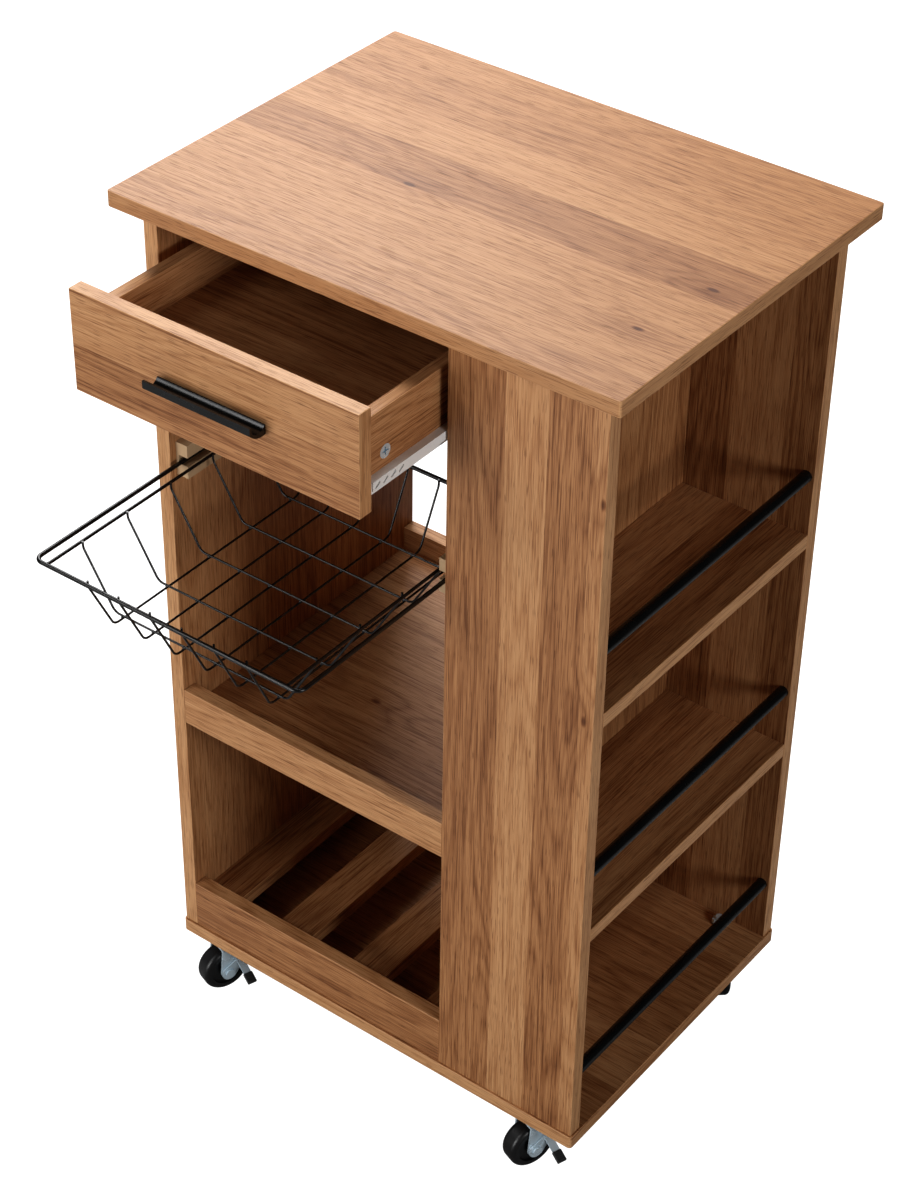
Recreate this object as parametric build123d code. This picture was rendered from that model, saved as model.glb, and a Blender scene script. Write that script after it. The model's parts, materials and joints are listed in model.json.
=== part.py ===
from build123d import *
import os

os.makedirs("parts", exist_ok=True)

# A small wheeled kitchen island: a worktop over an open bay with a drawer, a pull-out wire basket,
# a shelf and bottle slats, beside a narrow tower of side compartments behind a tall front panel.
#
# Everything is drawn in the carcass's own frame and moved once, when it is written:
#   x = 0 on the left side's outer face, growing to the right
#   y = 0 on the carcass's front plane, growing to the back
#   z = 0 on top of the base panel, growing up

# ---------------------------------------------------------------- sizes of the carcass
carcass_width = 477.0
carcass_depth = 352.0
carcass_height = 817.0
board = 15.0
eased_edge = 0.8
overhang_left = 23.0
overhang_right = 20.0
overhang_front = 18.0
overhang_back = 18.0
worktop_corner = 3.0
base_reveal = 2.0
base_corner = 4.0

# The tower: its front panel, and the divider set a little inside that panel's left edge.
tower_width = 155.0
divider_setback = 4.5
upper_shelf_top = 500.5
lower_shelf_top = 254.5
rod_radius = 5.8
rod_heights = (562.0, 316.0, 70.0)
rod_to_open_side = 8.0
rod_seat = 6.0

# The bay: rails across its front and back, a shelf, and four slats for bottles.
mid_rail_bottom = 264.0
mid_rail_height = 40.0
bottom_rail_height = 55.0
top_rail_height = 60.0
slat_width = 40.0
slat_count = 4
slat_bottom = 25.0

# ---------------------------------------------------------------- sizes of the drawer
drawer_pull = 109.0
front_gap = 2.0
front_height = 98.0
front_to_worktop = 22.0
box_board = 12.0
box_length = 300.0
box_height = 71.0
box_below_front_top = 16.0
runner_space = 13.5
floor_thickness = 3.0
floor_to_side_top = 37.0
groove_depth = 5.0
slip = 0.05

cam_radius = 6.5
cam_depth = 6.5
cam_behind_front = 26.0
cam_above_box_bottom = 30.0
cam_bolt_radius = 2.5
cam_bolt_in_front = 9.0

handle_length = 113.4
handle_top_below_front_top = 47.0
handle_reach = 19.0
handle_screw_spacing = 96.0

# Folded sheet runners: one channel under the drawer's side, one on the carcass, and two rollers.
sheet = 1.2
runner_air = 0.3
flange_above_box_bottom = 16.0
flange_reach = 7.5
lip_height = 8.5
carcass_flange = 5.3
roller_radius = 9.2
roller_width = 3.6
stud_radius = 1.8
bearing_gap = 0.05
carcass_runner_behind_panel = 2.0
carcass_runner_length = 308.0
roller_from_end = 12.0
slot_count = 4
slot_pitch = 10.0
slot_length = 7.0
slot_height = 2.4

# ---------------------------------------------------------------- sizes of the basket
basket_pull = 181.5
basket_length = 306.8
basket_closed_front = 4.0
carrier_height = 563.0
carrier_radius = 2.0
carrier_bend = 8.0
rim_radius = 1.5
mesh_radius = 1.25
rim_inset = 13.5
basket_depth = 60.5
side_slope = 32.75
end_slope = 27.25
cross_wire_count = 5
cross_wire_inset = 11.0
long_wire_count = 6
long_wire_inset = 9.0
wire_upright = 6.0
wire_bend = 9.0

strip_height = 35.0
strip_groove = 9.0
strip_left_thickness = 13.5
strip_right_thickness = 22.0
strip_groove_depth = 10.5
wire_end_gap = 1.0
strip_front_left = 8.0
strip_back = 330.0

# ---------------------------------------------------------------- sizes of the casters
caster_height = 58.0
wheel_radius = 25.0
wheel_width = 20.0
tread_round = 5.0
trail = 19.0
stem_radius = 4.0
stem_inset_left = 46.0
stem_inset_right = 46.0
stem_inset_front = 26.0
stem_inset_back = 26.0
collar_radius = 12.0
collar_thickness = 1.5
swivel_gap = 0.3
fork_sheet = 2.0
crown_sheet = 2.4
crown_radius = 15.0
axle_radius = 3.0
axle_head_radius = 5.0
axle_head = 1.8
pedal_sheet = 1.6
pedal_reach = 28.0
pedal_width = 8.0
pedal_tilt = 25.0
cap_length = 12.0
cap_wall = 0.9
# Each caster: name, at the right end, at the back, heading of its trailing wheel, has a brake.
casters = (
    ("front_left", False, False, -110.0, True),
    ("front_right", True, False, -110.0, True),
    ("back_left", False, True, -65.0, False),
    ("back_right", True, True, -49.0, False),
)

# ---------------------------------------------------------------- fasteners
dowel_radius = 4.0
dowel_in_face = 9.0
dowel_in_end = 20.0
hole_slack = 0.5
# head radius, head height, shank radius, length, socket width
frame_screw = (4.8, 3.6, 3.0, 50.0, 4.0)
small_screw = (3.2, 1.6, 1.6, 12.0, 1.6)
handle_screw = (3.6, 2.0, 2.0, 18.5, 2.0)
back_screw = (3.6, 2.2, 2.0, 35.0, 2.0)
strip_screw = (3.2, 1.6, 1.6, 13.0, 1.6)

# ---------------------------------------------------------------- worked out from the sizes
left_face = board
tower_left = carcass_width - tower_width
divider_left = tower_left + divider_setback
divider_right = divider_left + board
inner_front = board
inner_back = carcass_depth - board
floor_drop = board + caster_height

drawer_y = -drawer_pull
front_top = carcass_height - front_to_worktop
box_top = front_top - box_below_front_top
box_bottom = box_top - box_height
box_left = left_face + runner_space
box_right = divider_left - runner_space
box_front = drawer_y + board
box_back = box_front + box_length
floor_top = box_top - floor_to_side_top

basket_front = basket_closed_front - basket_pull
basket_back = basket_front + basket_length
basket_floor = carrier_height - basket_depth

# The origin is on the floor, under the middle of the whole thing as it stands with both slides out.
origin_x = (carcass_width + overhang_right - overhang_left) / 2
origin_y = (carcass_depth + overhang_back + basket_front - carrier_radius) / 2
to_model = Location((-origin_x, -origin_y, floor_drop))

parts = {}


def block(x0, x1, y0, y1, z0, z1):
    """A box between two opposite corners."""
    return Pos((x0 + x1) / 2, (y0 + y1) / 2, (z0 + z1) / 2) * Box(x1 - x0, y1 - y0, z1 - z0)


def plank(x0, x1, y0, y1, z0, z1, corner=0.0):
    """A board with its edges eased, and its upright corners rounded if asked."""
    body = block(x0, x1, y0, y1, z0, z1)
    if corner > 0:
        body = fillet(body.edges().filter_by(Axis.Z), corner)
        return fillet(body.faces().filter_by(Axis.Z).edges(), eased_edge)
    return fillet(body.edges(), eased_edge)


def rod(start, end, radius):
    """A round bar from one point to another."""
    way = Vector(*end) - Vector(*start)
    return Plane(origin=start, z_dir=way) * Pos(0, 0, way.length / 2) * Cylinder(radius, way.length)


def wire_along(points, radius, bend, closed=False):
    """A bent wire of round section through corner points."""
    path = FilletPolyline(*points, radius=bend, close=closed)
    return sweep(Plane(origin=path @ 0, z_dir=path % 0) * Circle(radius), path=path)


def mirrored_in_bay(x):
    """The same place on the other side of the bay's middle."""
    return left_face + divider_left - x


# ---------------------------------------------------------------- fastener helpers
dowel_pins = []
frame_screws = []
wood_screws = []
drawer_screws = []
handle_screws = []


def peg(first, second, at, into):
    """A wooden dowel across a joint: shallow in the first board, deep in the second board's end."""
    seat = Plane(origin=at, z_dir=into)
    middle = Pos(0, 0, (dowel_in_end - dowel_in_face) / 2)
    length = dowel_in_end + dowel_in_face
    dowel_pins.append(seat * middle * Cylinder(dowel_radius, length))
    hole = seat * middle * Cylinder(dowel_radius, length + 2 * hole_slack)
    parts[first] -= hole
    parts[second] -= hole


def screw_body(spec, slack=0.0):
    """A countersunk screw pointing down its own +Z, with its head flush at the origin."""
    head_radius, head_height, shank_radius, length, _ = spec
    head = Pos(0, 0, head_height / 2) * Cone(head_radius, shank_radius, head_height)
    shank_length = length - head_height + slack
    return head + Pos(0, 0, head_height + shank_length / 2) * Cylinder(shank_radius, shank_length)


def drive(kind, spec, boards, at, into):
    """Sets a screw through boards from a point on the outer face, and bores them for it."""
    seat = Plane(origin=at, z_dir=into)
    depth = spec[1] * 0.7
    socket = extrude(RegularPolygon(spec[4] / 2, 6), depth)
    kind.append(seat * (screw_body(spec) - socket))
    bore = seat * screw_body(spec, hole_slack)
    for name in boards:
        parts[name] -= bore


# ---------------------------------------------------------------- worktop, base and upright panels
parts["worktop"] = plank(
    -overhang_left,
    carcass_width + overhang_right,
    -overhang_front,
    carcass_depth + overhang_back,
    carcass_height,
    carcass_height + board,
    worktop_corner,
)
parts["base_panel"] = plank(
    -base_reveal,
    carcass_width + base_reveal,
    -base_reveal,
    carcass_depth + base_reveal,
    -board,
    0,
    base_corner,
)
parts["left_side_panel"] = plank(0, board, 0, carcass_depth, 0, carcass_height)
parts["divider_panel"] = plank(
    divider_left, divider_right, inner_front, carcass_depth, 0, carcass_height
)
parts["front_panel"] = plank(tower_left, carcass_width, 0, board, 0, carcass_height)
parts["back_panel"] = plank(divider_right, carcass_width, inner_back, carcass_depth, 0, carcass_height)

# ---------------------------------------------------------------- shelves, rails and slats
for name, top in (("upper_side_shelf", upper_shelf_top), ("lower_side_shelf", lower_shelf_top)):
    parts[name] = plank(divider_right, carcass_width, inner_front, inner_back, top - board, top)
parts["mid_shelf"] = plank(
    left_face, divider_left, inner_front, inner_back, mid_rail_bottom, mid_rail_bottom + board
)

rail_heights = {
    "mid": (mid_rail_bottom, mid_rail_bottom + mid_rail_height),
    "bottom": (0.0, bottom_rail_height),
    "top": (carcass_height - top_rail_height, carcass_height),
}
for level in ("mid", "bottom"):
    low, high = rail_heights[level]
    parts[level + "_front_rail"] = plank(left_face, tower_left, 0, board, low, high)
for level in ("mid", "bottom", "top"):
    low, high = rail_heights[level]
    parts[level + "_back_rail"] = plank(left_face, divider_left, inner_back, carcass_depth, low, high)

slat_pitch = (divider_left - left_face - slat_width) / (slat_count - 1)
slat_names = []
for i in range(slat_count):
    slat_x = left_face + i * slat_pitch
    slat_names.append(f"bottle_slat_{i + 1}")
    parts[slat_names[-1]] = plank(
        slat_x, slat_x + slat_width, inner_front, inner_back, slat_bottom, slat_bottom + board
    )

# Round rails that keep things on the open side shelves; their ends sit in blind holes.
rod_x = carcass_width - rod_to_open_side
for i, height in enumerate(rod_heights):
    bar = rod(
        (rod_x, inner_front - rod_seat, height),
        (rod_x, inner_back + rod_seat, height),
        rod_radius,
    )
    seat = rod(
        (rod_x, inner_front - rod_seat - hole_slack, height),
        (rod_x, inner_back + rod_seat + hole_slack, height),
        rod_radius,
    )
    parts[f"side_rod_{i + 1}"] = bar
    parts["front_panel"] -= seat
    parts["back_panel"] -= seat

# ---------------------------------------------------------------- wooden runner strips for the basket
groove_floor = carrier_height - carrier_radius - runner_air
strip_bottom = groove_floor - (strip_height - strip_groove) / 2
left_groove_end = left_face + strip_left_thickness - strip_groove_depth
right_groove_end = divider_left - strip_right_thickness + strip_groove_depth
carrier_left = left_groove_end + wire_end_gap + carrier_radius
carrier_right = right_groove_end - wire_end_gap - carrier_radius

left_strip = block(
    left_face,
    left_face + strip_left_thickness,
    strip_front_left,
    strip_back,
    strip_bottom,
    strip_bottom + strip_height,
)
left_groove = block(
    left_groove_end,
    divider_left,
    -board,
    carcass_depth + board,
    groove_floor,
    groove_floor + strip_groove,
)
right_strip = block(
    divider_left - strip_right_thickness,
    divider_left,
    inner_front,
    strip_back,
    strip_bottom,
    strip_bottom + strip_height,
)
right_groove = block(
    left_face,
    right_groove_end,
    -board,
    carcass_depth + board,
    groove_floor,
    groove_floor + strip_groove,
)
parts["basket_runner_left"] = left_strip - left_groove
parts["basket_runner_right"] = right_strip - right_groove

# ---------------------------------------------------------------- drawer box
parts["drawer_front"] = plank(
    left_face + front_gap,
    tower_left - front_gap,
    drawer_y,
    box_front,
    front_top - front_height,
    front_top,
)
parts["drawer_side_left"] = plank(
    box_left, box_left + box_board, box_front, box_back, box_bottom, box_top
)
parts["drawer_side_right"] = plank(
    box_right - box_board, box_right, box_front, box_back, box_bottom, box_top
)
parts["drawer_back"] = plank(
    box_left + box_board, box_right - box_board, box_back - box_board, box_back, box_bottom, box_top
)
# The floor is a thin sheet held in a groove all round, notched for the heads of the pull's screws.
floor_low = floor_top - floor_thickness
inside = (
    box_left + box_board - groove_depth,
    box_right - box_board + groove_depth,
    box_front - groove_depth,
    box_back - box_board + groove_depth,
)
parts["drawer_bottom"] = block(
    inside[0] + slip, inside[1] - slip, inside[2] + slip, inside[3] - slip, floor_low, floor_top
)
floor_groove = block(*inside, floor_low, floor_top + slip)
for name in ("drawer_front", "drawer_side_left", "drawer_side_right", "drawer_back"):
    parts[name] -= floor_groove

# Cam locks in the sides draw the front on by a bolt each.
cam_z = box_bottom + cam_above_box_bottom
cam_y = box_front + cam_behind_front
parts["drawer_cams"] = []
for name, face, inward in (("drawer_side_left", box_left, 1), ("drawer_side_right", box_right, -1)):
    bolt_x = face + inward * cam_depth / 2
    cam = rod((face, cam_y, cam_z), (face + inward * cam_depth, cam_y, cam_z), cam_radius)
    cross = Pos(face, cam_y, cam_z) * (Box(cam_depth, 1.8, 7.6) + Box(cam_depth, 7.6, 1.8))
    bolt_back = cam_y - cam_radius + 2.0
    bolt_front = box_front - cam_bolt_in_front
    bolt = rod((bolt_x, bolt_back, cam_z), (bolt_x, bolt_front, cam_z), cam_bolt_radius)
    parts[name] -= cam + bolt
    parts["drawer_front"] -= bolt
    parts["drawer_cams"] += [cam - cross - bolt, bolt]
for name, face, inward in (("drawer_side_left", box_left, 1), ("drawer_side_right", box_right, -1)):
    for height in (box_bottom + 12.0, box_top - 12.0):
        at = (face, box_back - box_board / 2, height)
        drive(drawer_screws, back_screw, (name, "drawer_back"), at, (inward, 0, 0))

# ---------------------------------------------------------------- drawer pull
# A bar pull: a foot on the drawer front, a dished channel for the fingertips and an upright lip.
handle_middle = (tower_left + left_face) / 2
handle_start = handle_middle - handle_length / 2
grip_top = front_top - handle_top_below_front_top
foot_height = 9.0
lip_rise = 5.0
lip_thickness = 2.2
lip_inner = lip_thickness - handle_reach
pull_outline = [
    Line((0, -foot_height), (0, 0)),
    Line((0, 0), (-1.2, 0)),
    ThreePointArc((-1.2, 0), (-0.5 * handle_reach, -4.6), (lip_inner, 0.6)),
    Line((lip_inner, 0.6), (lip_inner, lip_rise)),
    Line((lip_inner, lip_rise), (-handle_reach, lip_rise)),
    Line((-handle_reach, lip_rise), (-handle_reach, -2.0)),
    ThreePointArc((-handle_reach, -2.0), (-0.55 * handle_reach, -8.2), (0, -foot_height)),
]
pull_plane = Plane(origin=(handle_start, drawer_y, grip_top), x_dir=(0, 1, 0), z_dir=(1, 0, 0))
parts["handle"] = extrude(pull_plane * make_face(pull_outline), handle_length)
for side in (-1, 1):
    at = (handle_middle + side * handle_screw_spacing / 2, box_front, grip_top - 0.61 * foot_height)
    drive(handle_screws, handle_screw, ("drawer_front", "handle", "drawer_bottom"), at, (0, -1, 0))

# ---------------------------------------------------------------- drawer runners and their rollers
flange_top = box_bottom + flange_above_box_bottom
roller_z = flange_top - sheet - runner_air - roller_radius
carcass_low = roller_z - roller_radius - runner_air - sheet
moving_start = box_front + 1.0
moving_end = box_back - 1.0
moving_stud_y = moving_end - roller_from_end
fixed_start = board + carcass_runner_behind_panel
fixed_end = fixed_start + carcass_runner_length
fixed_stud_y = fixed_start + roller_from_end


def strip(x0, x1, y0, y1, z0, z1):
    """A block whose two x values may come in either order, so one drawing serves both sides."""
    return block(min(x0, x1), max(x0, x1), y0, y1, z0, z1)


def moving_runner(face, out):
    """The channel on the drawer: a foot below its side, a web up it, a flange out, a slotted lip."""
    edge = face + out * flange_reach
    ends = (moving_start, moving_end)
    body = strip(face - out * 11.0, face + out * sheet, *ends, box_bottom - sheet, box_bottom)
    body += strip(face, face + out * sheet, *ends, box_bottom - sheet, flange_top)
    body += strip(face, edge, *ends, flange_top - sheet, flange_top)
    body += strip(edge - out * sheet, edge, *ends, flange_top - lip_height, flange_top)
    for i in range(slot_count):
        middle = Pos(edge, moving_start + 6.0 + slot_pitch * i, flange_top - 0.58 * lip_height)
        body -= middle * Rot(33, 0, 0) * Box(4.0, slot_length, slot_height)
    stud_end = face + out * (runner_space - sheet - 0.6)
    stud_start = face + out * 0.4
    stud = rod((stud_start, moving_stud_y, roller_z), (stud_end, moving_stud_y, roller_z), stud_radius)
    return body + stud


def fixed_runner(face, out):
    """The channel on the carcass: a web with a flange above and below, open towards the drawer."""
    edge = face + out * carcass_flange
    ends = (fixed_start, fixed_end)
    body = strip(face, face + out * sheet, *ends, carcass_low, flange_top)
    body += strip(face, edge + out * 1.8, *ends, carcass_low, carcass_low + sheet)
    body += strip(face, edge, *ends, flange_top - sheet, flange_top)
    stud_end = face + out * (runner_space - sheet - 0.5)
    stud_start = face + out * 0.4
    stud = rod((stud_start, fixed_stud_y, roller_z), (stud_end, fixed_stud_y, roller_z), stud_radius)
    return body + stud


def roller(start_x, end_x, y):
    """A plain roller with eased rims and a bore that runs on its stud."""
    body = rod((start_x, y, roller_z), (end_x, y, roller_z), roller_radius)
    body = fillet(body.edges().filter_by(GeomType.CIRCLE), 0.6)
    return body - rod((start_x, y, roller_z), (end_x, y, roller_z), stud_radius + bearing_gap)


for side, carcass_face, drawer_face, inward, panel, drawer_side in (
    ("left", left_face, box_left, 1, "left_side_panel", "drawer_side_left"),
    ("right", divider_left, box_right, -1, "divider_panel", "drawer_side_right"),
):
    parts[f"cabinet_runner_{side}"] = fixed_runner(carcass_face, inward)
    parts[f"drawer_runner_{side}"] = moving_runner(drawer_face, -inward)
    front_x = drawer_face - inward * (sheet + 0.7)
    parts[f"cabinet_roller_{side}"] = roller(front_x, front_x - inward * roller_width, fixed_stud_y)
    back_x = carcass_face + inward * (sheet + 0.5)
    parts[f"drawer_roller_{side}"] = roller(back_x, back_x + inward * roller_width, moving_stud_y)
    for share in (0.2, 0.5, 0.85):
        at = (carcass_face + inward * sheet, fixed_start + share * carcass_runner_length, roller_z)
        drive(wood_screws, small_screw, (f"cabinet_runner_{side}", panel), at, (-inward, 0, 0))
        at = (drawer_face + inward * box_board / 2, box_front + share * box_length, box_bottom - sheet)
        drive(drawer_screws, small_screw, (f"drawer_runner_{side}", drawer_side), at, (0, 0, 1))

# Three screws hold each basket strip, with their heads sunk in the end of its groove.
for strip_name, panel, groove_end, out in (
    ("basket_runner_left", "left_side_panel", left_groove_end, -1),
    ("basket_runner_right", "divider_panel", right_groove_end, 1),
):
    for share in (0.12, 0.5, 0.88):
        at = (groove_end, share * strip_back, groove_floor + strip_groove / 2)
        drive(wood_screws, strip_screw, (strip_name, panel), at, (out, 0, 0))

# ---------------------------------------------------------------- wire basket
# Its carrier is one bent rectangle that slides in the wooden strips; two thinner wires span it.
loop = [
    (carrier_right, basket_front, carrier_height),
    (carrier_right, basket_back, carrier_height),
    (carrier_left, basket_back, carrier_height),
    (carrier_left, basket_front, carrier_height),
]
parts["basket_rim"] = [wire_along(loop, carrier_radius, carrier_bend, closed=True)]
rim_left = carrier_left + rim_inset
rim_right = carrier_right - rim_inset
for x in (rim_left, rim_right):
    ends = (basket_front + carrier_radius, basket_back - carrier_radius)
    side_wire = rod((x, ends[0], carrier_height), (x, ends[1], carrier_height), rim_radius)
    parts["basket_rim"].append(side_wire)

upright_top = carrier_height + carrier_radius
upright_foot = upright_top - wire_upright
side_in = rim_radius + mesh_radius
end_in = carrier_radius + mesh_radius
floor_left = rim_left + side_in + side_slope
floor_right = rim_right - side_in - side_slope
floor_front = basket_front + end_in + end_slope
floor_back = basket_back - end_in - end_slope
cross_pitch = (floor_back - floor_front - 2 * cross_wire_inset) / (cross_wire_count - 1)
long_pitch = (floor_right - floor_left - 2 * long_wire_inset) / (long_wire_count - 1)
cross_floor = basket_floor + 2 * mesh_radius

# Each wire stands against the rim, slopes in to the floor, runs along it and comes up again.
parts["basket_cross_wires"] = []
for i in range(cross_wire_count):
    y = floor_front + cross_wire_inset + i * cross_pitch
    low_z, bend_z, high_z = cross_floor, upright_foot, upright_top
    points = [
        (rim_left + side_in, y, high_z),
        (rim_left + side_in, y, bend_z),
        (floor_left, y, low_z),
        (floor_right, y, low_z),
        (rim_right - side_in, y, bend_z),
        (rim_right - side_in, y, high_z),
    ]
    parts["basket_cross_wires"].append(wire_along(points, mesh_radius, wire_bend))
parts["basket_long_wires"] = []
for i in range(long_wire_count):
    x = floor_left + long_wire_inset + i * long_pitch
    points = [
        (x, basket_front + end_in, upright_top),
        (x, basket_front + end_in, upright_foot),
        (x, floor_front, basket_floor),
        (x, floor_back, basket_floor),
        (x, basket_back - end_in, upright_foot),
        (x, basket_back - end_in, upright_top),
    ]
    parts["basket_long_wires"].append(wire_along(points, mesh_radius, wire_bend))

# ---------------------------------------------------------------- casters
# Drawn with the stem on the Z axis and the wheel trailing along +X, then turned to their headings.
axle_z = -floor_drop + wheel_radius
crown_top = -board - collar_thickness - swivel_gap
crown_low = crown_top - crown_sheet
stem_foot = crown_low - swivel_gap
inner_half = wheel_width / 2 + 1.0
outer_half = inner_half + fork_sheet
hub_half = inner_half - swivel_gap
pedal_in = outer_half + swivel_gap
pedal_out = pedal_in + pedal_sheet
boss_radius = 8.5


def side_plate(points, y0, y1):
    """A plate in the wheel's own plane: the hull of some (x, z) points and a boss round the axle."""
    ring = points + points[:1]
    plane = Plane(origin=(0, y1, 0), x_dir=(1, 0, 0), z_dir=(0, -1, 0))
    edges = [Line(a, b) for a, b in zip(ring, ring[1:])]
    boss = CenterArc((trail, axle_z), boss_radius, 0, 360)
    return extrude(plane * make_hull([*edges, boss]), y1 - y0)


def caster_fork(braked):
    """A folded fork: a round crown on the stem, two cheeks down to the axle, and the axle's rivet."""
    crown = Pos(0, 0, (crown_top + crown_low) / 2) * Cylinder(crown_radius, crown_sheet)
    outline = [
        (-10.0, crown_top),
        (-10.0, crown_top - 7.0),
        (trail + 6.0, crown_top - 6.0),
        (trail + 6.0, crown_top),
    ]
    cheeks = side_plate(outline, -outer_half, outer_half)
    cheeks -= block(-40, 60, -inner_half, inner_half, -floor_drop, crown_low)
    fork = crown + cheeks
    fork -= Cylinder(stem_radius + bearing_gap, 100)
    fork -= rod((trail, -30, axle_z), (trail, 30, axle_z), axle_radius)
    near = pedal_out + swivel_gap if braked else outer_half
    rivet = rod((trail, -outer_half, axle_z), (trail, near, axle_z), axle_radius)
    head_start = (trail, -outer_half - axle_head, axle_z)
    rivet += rod(head_start, (trail, -outer_half, axle_z), axle_head_radius)
    rivet += rod((trail, near, axle_z), (trail, near + axle_head, axle_z), axle_head_radius)
    return [fork, rivet]


def caster_wheel():
    """A rounded tread, dished on both faces, round a longer hub that runs on the rivet."""
    half = wheel_width / 2
    body = rod((trail, -half, axle_z), (trail, half, axle_z), wheel_radius)
    body = fillet(body.edges().filter_by(GeomType.CIRCLE), tread_round)
    for side in (-1, 1):
        dish_start = (trail, side * (half - 2.5), axle_z)
        body -= rod(dish_start, (trail, side * (half + 5.0), axle_z), wheel_radius * 0.68)
    body += rod((trail, -hub_half, axle_z), (trail, hub_half, axle_z), 7.0)
    return body - rod((trail, -30, axle_z), (trail, 30, axle_z), axle_radius + bearing_gap)


def brake_pedal():
    """A plate that turns on the rivet beside the fork, a wing outward for the toe, a cap on it."""
    wing_x = trail - 12.5
    wing_z = axle_z + 12.0
    half = pedal_width / 2
    outline = [
        (wing_x - half, wing_z - 2.0),
        (wing_x - half, wing_z + 2.0),
        (wing_x + half, wing_z + 2.0),
    ]
    plate = side_plate(outline, pedal_in, pedal_out)
    tilt = Pos(wing_x, pedal_in, wing_z) * Rot(-pedal_tilt, 0, 0)
    wing = tilt * Pos(0, pedal_reach / 2, 0) * Box(pedal_width, pedal_reach, pedal_sheet)
    plate += wing & block(-60, 60, pedal_in, 100, -100, 0)
    plate -= rod((trail, 0, axle_z), (trail, 40, axle_z), axle_radius + bearing_gap)
    cap = Box(pedal_width + 2 * cap_wall, cap_length, pedal_sheet + 2 * cap_wall)
    cap = fillet(cap.edges(), 0.9)
    cap = tilt * Pos(0, pedal_reach + cap_wall - cap_length / 2, 0) * cap
    return plate, cap - plate


stem_top = 10.0
nut_flange_radius = 7.5
nut_flange = 1.6
nut_radius = 6.4
nut_height = 7.2
parts["caster_stems"] = []
parts["caster_nuts"] = []
for name, right, back, heading, braked in casters:
    stem_x = carcass_width - stem_inset_right if right else stem_inset_left
    stem_y = carcass_depth - stem_inset_back if back else stem_inset_front
    place = Pos(stem_x, stem_y, 0) * Rot(0, 0, heading)
    parts[f"caster_fork_{name}"] = [place * piece for piece in caster_fork(braked)]
    parts[f"caster_wheel_{name}"] = place * caster_wheel()
    if braked:
        plate, cap = brake_pedal()
        parts[f"brake_pedal_{name}"] = place * plate
        parts[f"brake_cap_{name}"] = place * cap

    # The stem goes up through the base, with a collar under it and a flanged nut on top.
    axis = Pos(stem_x, stem_y, 0)
    stem = rod((0, 0, stem_foot), (0, 0, stem_top), stem_radius)
    stem += rod((0, 0, -board - collar_thickness), (0, 0, -board), collar_radius)
    stem += rod((0, 0, stem_foot - 1.5), (0, 0, stem_foot), stem_radius + 2.0)
    nut = rod((0, 0, 0), (0, 0, nut_flange), nut_flange_radius)
    nut += extrude(RegularPolygon(nut_radius, 6), nut_height)
    nut -= Cylinder(stem_radius, 60)
    parts["caster_stems"].append(axis * stem)
    parts["caster_nuts"].append(axis * nut)
    parts["base_panel"] -= axis * Cylinder(stem_radius, 60)

# ---------------------------------------------------------------- joints of the carcass
# Screws through the left side into the ends of the rails and the shelf.
front_y = board / 2
back_y = inner_back + board / 2
left_side_screws = [
    ("mid_front_rail", front_y, mid_rail_bottom + 0.25 * mid_rail_height),
    ("mid_front_rail", front_y, mid_rail_bottom + 0.75 * mid_rail_height),
    ("mid_back_rail", back_y, mid_rail_bottom + 0.25 * mid_rail_height),
    ("mid_back_rail", back_y, mid_rail_bottom + 0.75 * mid_rail_height),
    ("bottom_front_rail", front_y, 0.8 * bottom_rail_height),
    ("bottom_back_rail", back_y, 0.8 * bottom_rail_height),
    ("top_back_rail", back_y, carcass_height - top_rail_height / 2),
    ("mid_shelf", 0.3 * carcass_depth, mid_rail_bottom + board / 2),
    ("mid_shelf", 0.7 * carcass_depth, mid_rail_bottom + board / 2),
]
for rail, y, z in left_side_screws:
    drive(frame_screws, frame_screw, ("left_side_panel", rail), (0, y, z), (1, 0, 0))

# Screws up through the base into the ends of the upright panels.
screw_from_corner = 90.0
base_screws = [
    ("left_side_panel", board / 2, screw_from_corner),
    ("left_side_panel", board / 2, carcass_depth - screw_from_corner),
    ("divider_panel", divider_left + board / 2, screw_from_corner),
    ("divider_panel", divider_left + board / 2, carcass_depth - screw_from_corner),
    ("front_panel", tower_left + tower_width / 3, front_y),
    ("back_panel", tower_left + tower_width / 2, back_y),
]
for panel, x, y in base_screws:
    drive(frame_screws, frame_screw, ("base_panel", panel), (x, y, -board), (0, 0, 1))

# Dowels: rails into the tower, slats into the bottom rails, shelves and worktop on their panels.
for rail, face, level in (
    ("mid_front_rail", "front_panel", "mid"),
    ("bottom_front_rail", "front_panel", "bottom"),
):
    low, high = rail_heights[level]
    rail_end = (tower_left, front_y, (low + high) / 2)
    peg(face, rail, rail_end, (-1, 0, 0))
for level in ("mid", "bottom", "top"):
    low, high = rail_heights[level]
    peg("divider_panel", level + "_back_rail", (divider_left, back_y, (low + high) / 2), (-1, 0, 0))
shelf_middle = (divider_left, carcass_depth / 2, mid_rail_bottom + board / 2)
peg("divider_panel", "mid_shelf", shelf_middle, (-1, 0, 0))
for i, name in enumerate(slat_names):
    x = left_face + i * slat_pitch + slat_width / 2
    z = slat_bottom + board / 2
    peg("bottom_front_rail", name, (min(x, tower_left - 12.0), inner_front, z), (0, 1, 0))
    peg("bottom_back_rail", name, (x, inner_back, z), (0, -1, 0))
for name, top in (("upper_side_shelf", upper_shelf_top), ("lower_side_shelf", lower_shelf_top)):
    x = (divider_right + carcass_width) / 2
    peg("front_panel", name, (x, inner_front, top - board / 2), (0, 1, 0))
    peg("back_panel", name, (x, inner_back, top - board / 2), (0, -1, 0))
for height in (0.15, 0.85):
    z = height * carcass_height
    peg("front_panel", "divider_panel", (divider_left + board / 2, inner_front, z), (0, 1, 0))
    peg("divider_panel", "back_panel", (divider_right, back_y, z), (1, 0, 0))
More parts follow.
